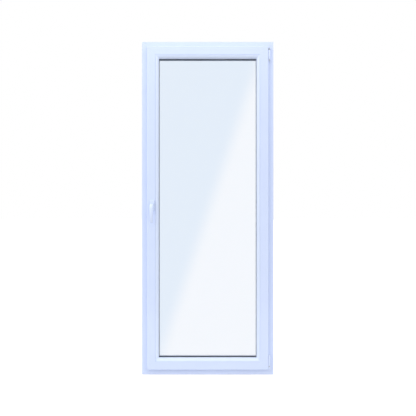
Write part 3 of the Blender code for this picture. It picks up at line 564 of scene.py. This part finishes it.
def powder_coat(name, shades):
    """Polyester powder coat: glossy, with the slight orange peel, 2 mm across, that the melt leaves."""
    material, shader = finish(name, roughness=0.24)
    place = add(material, "ShaderNodeTexCoord")
    cloud = add(material, "ShaderNodeTexNoise", {"Vector": (place, "Object"), "Scale": 40.0})
    blended(material, shader, (cloud, 0), *shades)
    peel = add(material, "ShaderNodeTexNoise", {"Vector": (place, "Object"), "Scale": 500.0, "Detail": 1.0})
    bump = add(material, "ShaderNodeBump", {"Height": (peel, 0), "Strength": 0.15, "Distance": 0.05 * mm})
    feed(material, bump, 0, shader, "Normal")
    return material


white_coat = powder_coat("white_powder_coat", ("#d2dffb", "#d8e4fc"))
spindle_low, spindle_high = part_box("handle_spindle")
spindle_x, spindle_z = (spindle_low[0] + spindle_high[0]) / 2, (spindle_low[2] + spindle_high[2]) / 2
lever_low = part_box("handle_lever")[0]
cover_low, cover_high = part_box("handle_rosette")
neck_start = cover_low[1] + 1.2 * mm


def lever():
    """The lever: a superellipse section swept out along the neck, round an elbow and down the grip.

    The centre line is straight, then a quarter circle. Down the grip it bows out as a half sine and leans
    back as the square of the way down. At each station the section reaches a across and b through, and a
    point on it is (a cos^p, b sin^p). Both widen along the neck and taper down the grip, and b flattens
    round the elbow. p falls from 1 to 0.6 along the neck, which squares the round section. Over the tip a
    and b shrink by the root of 1 - q^2, which rounds it.
    """
    grip_front = lever_low[1] + 5.5 * mm
    elbow = 26.0 * mm
    tip_round = 6 * mm
    bow, lean, squaring = 2.0, 13.0, 0.4
    half_neck, wider_across, wider_through = 9.2, 1.8, 2.4
    taper_across, taper_through, flatter_through = 4.2, 0.8, 5.6
    neck = neck_start - grip_front - elbow
    turn = elbow * math.pi / 2
    drop = spindle_z - lever_low[2] - elbow
    travel = np.concatenate([np.linspace(0, neck, 6)[:-1], neck + np.linspace(0, turn, 16)[:-1],
                             neck + turn + np.linspace(0, 1, 40) ** 0.8 * drop])
    bend = np.clip((travel - neck) / elbow, 0, math.pi / 2)
    down_grip = np.clip(travel - neck - turn, 0, drop) / drop
    curve = (bow * np.sin(math.pi * down_grip) - lean * down_grip ** 2) * mm
    out = np.minimum(travel, neck) + elbow * np.sin(bend) + curve
    down = elbow * (1 - np.cos(bend)) + down_grip * drop
    turned_over = bend / (math.pi / 2)
    flare = np.clip(travel / neck, 0, 1)
    across = (half_neck + wider_across * flare - taper_across * down_grip) * mm
    through = half_neck + wider_through * flare - flatter_through * turned_over
    through = (through - taper_through * down_grip) * mm
    tip = np.clip(1 - (1 - down_grip) * drop / tip_round, 0, 0.995)
    shrink = np.sqrt(1 - tip ** 2)
    power = 1 - squaring * flare
    angle = np.linspace(0, 2 * math.pi, 40, endpoint=False)[None]
    a = (across * shrink)[:, None] * np.sign(np.cos(angle)) * np.abs(np.cos(angle)) ** power[:, None]
    b = (through * shrink)[:, None] * np.sign(np.sin(angle)) * np.abs(np.sin(angle)) ** power[:, None]
    y = neck_start - out[:, None] - b * np.sin(bend)[:, None]
    z = spindle_z - down[:, None] + b * np.cos(bend)[:, None]
    points = np.stack([spindle_x + a, y, z], -1)
    faces = capped(*points.shape[:2])
    piece = surface("handle_lever_grip", points, faces, "handle", white_coat, 50.0)
    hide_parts("handle_lever")


def cover():
    """The cover: a shell of rings, up the outside, over the face to the neck's hole, and down the inside."""
    half_x, half_z = (cover_high[0] - cover_low[0]) / 2 / mm, (cover_high[2] - cover_low[2]) / 2 / mm
    corners = [(-half_x, -half_z), (half_x, -half_z), (half_x, half_z), (-half_x, half_z)]
    plan = rounded(corners, 9.0, steps=12)
    hole = plan / np.linalg.norm(plan, axis=1, keepdims=True)
    face = (cover_high[1] - cover_low[1]) / mm
    drawn_in, rise = np.array([
        (0, 0), (0, face - 3.2), (0.25, face - 1.9), (0.95, face - 0.85), (2.1, face - 0.2), (3.4, face),
    ]).T * mm
    shell = plan[None] - outward(plan)[None] * drawn_in[:, None, None]
    lip_radius, lip_rise = np.array([
        (11.6, face), (11.2, face + 0.8), (10.6, face + 1.0),
        (9.8, face + 0.8), (9.6, face), (9.6, face - 0.8),
    ]).T * mm
    lip = hole[None] * lip_radius[:, None, None]
    wall, inner_rise = 1.4 * mm, (face - 0.8) * mm
    inside = plan - outward(plan) * wall
    rings = np.concatenate([shell, lip, inside[None], inside[None]])
    heights = np.concatenate([rise, lip_rise, [inner_rise, 0.0]])
    y = np.broadcast_to(cover_high[1] - heights[:, None], rings.shape[:2])
    points = np.stack([spindle_x + rings[:, :, 0], y, spindle_z + rings[:, :, 1]], -1)
    faces = strips(*points.shape[:2], close_rows=True)
    piece = surface("handle_rosette_cover", points, faces, "sash", white_coat, 40.0)
    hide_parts("handle_rosette")


lever()
cover()

# Hinges and stay. Pressed and cast steel leaves, powder coated white, that turn on plain zinc-plated pins.
# The tilt stay's arm is bare zinc plate and slides in the top rail's groove.

hinge_coat = powder_coat("hinge_powder_coat", ("#d4e0fb", "#dbe6fd"))
for node in ("top_hinge_bracket", "bottom_hinge_bearing", "bottom_corner_hinge"):
    eased(node, 0.5 * mm, hinge_coat)
for node in ("top_hinge_pin", "bottom_pivot_pin"):
    eased(node, 0.3 * mm, zinc_turned)
stay_zinc = plated("zinc_plated_stay", ("#a9b1be", "#c3cad5"), (0.02, 1.0, 1.0))
eased("tilt_stay_arm", 0.4 * mm, stay_zinc)

# Studio. A plain pale floor and a white surround, which lights the window a little more from above, from the
# sides and from outdoors. One soft lamp stands at the left and two small ones lift the head and the sill. A
# card behind the viewer gives the panes a soft slanting reflection.


def stage_plane(name, points, material):
    """A flat four-cornered sheet that belongs to the studio."""
    mesh = bpy.data.meshes.new(name)
    mesh.from_pydata(points, [], [(0, 1, 2, 3)])
    mesh.materials.append(material)
    plane = bpy.data.objects.new(name, mesh)
    bpy.context.scene.collection.objects.link(plane)
    return plane


def seen(material, straight, bounced):
    """A number with one value for what is seen straight or through glass, and one for bounced light."""
    ray = add(material, "ShaderNodeLightPath")
    either = add(
        material, "ShaderNodeMath", {0: (ray, "Is Camera Ray"), 1: (ray, "Is Transmission Ray")},
        operation="MAXIMUM",
    )
    return add(material, "ShaderNodeMapRange", {0: (either, 0), 3: bounced, 4: straight})


def by_reflection(material, plain, mirrored):
    """Shows one shader to a ray that has met a glossy face on its way, and another to the rest."""
    ray = add(material, "ShaderNodeLightPath")
    met = add(material, "ShaderNodeMath", {0: (ray, "Glossy Depth"), 1: 0.5}, operation="GREATER_THAN")
    either = add(material, "ShaderNodeMixShader", {0: (met, 0), 1: plain, 2: mirrored})
    for output in [node for node in material.node_tree.nodes if node.type == "OUTPUT_MATERIAL"]:
        feed(material, either, 0, output, "Surface")


FLOOR_SEEN, FLOOR_BOUNCED = 0.65, 0.10
floor_paint, floor_shader = finish("pale_floor_paint", "#b0b0b0", roughness=0.9, specular_ior_level=0.0)
floor_shader.inputs["Emission Color"].default_value = (1.0, 1.0, 1.0, 1.0)
feed(floor_paint, seen(floor_paint, FLOOR_SEEN, FLOOR_BOUNCED), 0, floor_shader, "Emission Strength")
ray = add(floor_paint, "ShaderNodeLightPath")
even_white = add(floor_paint, "ShaderNodeEmission", {"Strength": 1.0})
through_glass = add(
    floor_paint, "ShaderNodeMixShader",
    {0: (ray, "Is Transmission Ray"), 1: (floor_shader, 0), 2: (even_white, 0)},
)
unmirrored = add(floor_paint, "ShaderNodeBsdfTransparent")
by_reflection(floor_paint, (through_glass, 0), (unmirrored, 0))
floor_reach, floor_z = 40.0, bottom - 1 * mm
stage_plane("floor", [
    (-floor_reach, -floor_reach, floor_z), (floor_reach, -floor_reach, floor_z),
    (floor_reach, floor_reach, floor_z), (-floor_reach, floor_reach, floor_z),
], floor_paint)

SURROUND_SEEN, SURROUND_LEVEL, SURROUND_ASIDE = 1.0, 0.89, 0.66
SURROUND_LIFT, SURROUND_OUTDOORS = 0.30, 0.60
world = bpy.data.worlds.new("studio")
bpy.context.scene.world = world
world.use_nodes = True
surround = world.node_tree.nodes["Background"]
surround.inputs["Color"].default_value = (1.0, 1.0, 1.0, 1.0)
place = add(world, "ShaderNodeTexCoord")
direction = add(world, "ShaderNodeSeparateXYZ", {0: (place, "Generated")})
aside = add(world, "ShaderNodeMath", {0: (direction, "X"), 1: (direction, "X")}, operation="MULTIPLY")
outdoors = add(world, "ShaderNodeMath", {0: (direction, "Y"), 1: 0.0}, operation="MAXIMUM")
bounced = SURROUND_LEVEL
for amount, share in (
    ((aside, 0), SURROUND_ASIDE), ((outdoors, 0), SURROUND_OUTDOORS), ((direction, "Z"), SURROUND_LIFT),
):
    total = add(world, "ShaderNodeMath", {0: amount, 1: share, 2: bounced}, operation="MULTIPLY_ADD")
    bounced = (total, 0)
feed(world, seen(world, SURROUND_SEEN, bounced), 0, surround, "Strength")


def softbox(name, place, target, size, power):
    """A rectangular lamp, in watts, that faces its target. It makes no highlights and is never seen."""
    data = bpy.data.lights.new(name, "AREA")
    data.shape = "RECTANGLE"
    data.size, data.size_y = size
    data.energy = power
    lamp = bpy.data.objects.new(name, data)
    lamp.location = place
    x, y, z = np.array(target) - np.array(place)
    lamp.rotation_euler = (math.atan2(math.hypot(x, y), -z), 0.0, math.atan2(y, x) - math.pi / 2)
    lamp.visible_camera = False
    lamp.visible_transmission = False
    lamp.visible_glossy = False
    bpy.context.scene.collection.objects.link(lamp)


LEFT_WATTS, LOW_WATTS, OVERHEAD_WATTS = 12.0, 0.5, 1.4
window_middle = (middle_x, room_face, middle_z)
left_place = (middle_x - 2.3, room_face - 2.0, middle_z + 0.8)
softbox("left_softbox", left_place, window_middle, (1.1, 1.1), LEFT_WATTS)
sill_middle = (middle_x, room_face, bottom + 0.05)
low_place = (middle_x, room_face - 0.5, bottom + 0.12)
softbox("low_softbox", low_place, sill_middle, (1.0, 0.2), LOW_WATTS)
head_middle = (middle_x, room_face, top - 0.2)
overhead_place = (middle_x, room_face - 0.55, top + 0.35)
softbox("overhead_softbox", overhead_place, head_middle, (1.2, 0.3), OVERHEAD_WATTS)

# The card is laid out on the glass, as the viewer sees it, and spread out from there to where it stands. It
# is dim and blue at the left and bright at the right, with a soft slanting edge between them.
VIEW_DISTANCE = 3.0
CARD_BEHIND_VIEWER = 1.0
CARD_ON_GLASS = (0.60, 1.60)
EDGE_SLANT, EDGE_ASIDE, EDGE_SOFTNESS = math.radians(18.4), 0.012, 0.125
CARD_DIM, CARD_BRIGHT = (0.40, 0.55, 0.80, 1.0), (1.43, 1.17, 1.04, 1.0)
CARD_PLAIN = 0.62
viewer_y = room_face - VIEW_DISTANCE
card_y = viewer_y - CARD_BEHIND_VIEWER
glass_y = room_face + unit_face
spread = (2 * glass_y - card_y - viewer_y) / (glass_y - viewer_y)
card_glow = bpy.data.materials.new("reflection_card")
card_glow.use_nodes = True
card_glow.node_tree.nodes.clear()
place = add(card_glow, "ShaderNodeTexCoord")
edge_line = add(
    card_glow, "ShaderNodeVectorMath",
    {0: (place, "Object"), 1: (math.cos(EDGE_SLANT), 0.0, -math.sin(EDGE_SLANT))}, operation="DOT_PRODUCT",
)
edge_at = (middle_x + EDGE_ASIDE) * math.cos(EDGE_SLANT) * spread - middle_z * math.sin(EDGE_SLANT)
edge_width = EDGE_SOFTNESS * spread
side_of_edge = add(
    card_glow, "ShaderNodeMapRange",
    {0: (edge_line, "Value"), 1: edge_at - edge_width / 2, 2: edge_at + edge_width / 2},
    interpolation_type="SMOOTHSTEP",
)
card_mix = add(
    card_glow, "ShaderNodeMix", {0: (side_of_edge, 0), 6: CARD_DIM, 7: CARD_BRIGHT}, data_type="RGBA"
)
half_x, half_z = CARD_ON_GLASS[0] * spread, CARD_ON_GLASS[1] * spread
card_middle = (middle_x, card_y, middle_z)
centred = add(
    card_glow, "ShaderNodeVectorMath", {0: (place, "Object"), 1: card_middle}, operation="SUBTRACT"
)
scaled = add(
    card_glow, "ShaderNodeVectorMath", {0: (centred, 0), 1: (half_x, 1.0, half_z)}, operation="DIVIDE"
)
spread_out = add(card_glow, "ShaderNodeVectorMath", {0: (scaled, 0)}, operation="ABSOLUTE")
outness = add(card_glow, "ShaderNodeSeparateXYZ", {0: (spread_out, 0)})
outermost = add(card_glow, "ShaderNodeMath", {0: (outness, "X"), 1: (outness, "Z")}, operation="MAXIMUM")
fade = add(
    card_glow, "ShaderNodeMapRange", {0: (outermost, 0), 1: CARD_PLAIN, 2: 1.0},
    interpolation_type="SMOOTHSTEP",
)
glow = add(card_glow, "ShaderNodeEmission", {"Color": (card_mix, 2), "Strength": 1.0})
unlit = add(card_glow, "ShaderNodeBsdfTransparent")
faded = add(card_glow, "ShaderNodeMixShader", {0: (fade, 0), 1: (glow, 0), 2: (unlit, 0)})
add(card_glow, "ShaderNodeOutputMaterial")
by_reflection(card_glow, (unlit, 0), (faded, 0))
card_x, card_z = (middle_x - half_x, middle_x + half_x), (middle_z - half_z, middle_z + half_z)
card = stage_plane("reflection_card", [
    (card_x[0], card_y, card_z[0]), (card_x[1], card_y, card_z[0]),
    (card_x[1], card_y, card_z[1]), (card_x[0], card_y, card_z[1]),
], card_glow)
card.visible_camera = False
card.visible_diffuse = False
card.visible_shadow = False

camera_data = bpy.data.cameras.new("camera")
camera_data.lens = 40.15
camera_data.sensor_width = 36.0
camera_data.shift_x = 0.0007
camera_data.shift_y = 0.0003
camera = bpy.data.objects.new("camera", camera_data)
camera.location = (middle_x, viewer_y, middle_z)
camera.rotation_euler = (math.pi / 2, 0.0, 0.0)
bpy.context.scene.collection.objects.link(camera)
bpy.context.scene.camera = camera
bpy.context.scene.view_settings.view_transform = "Standard"
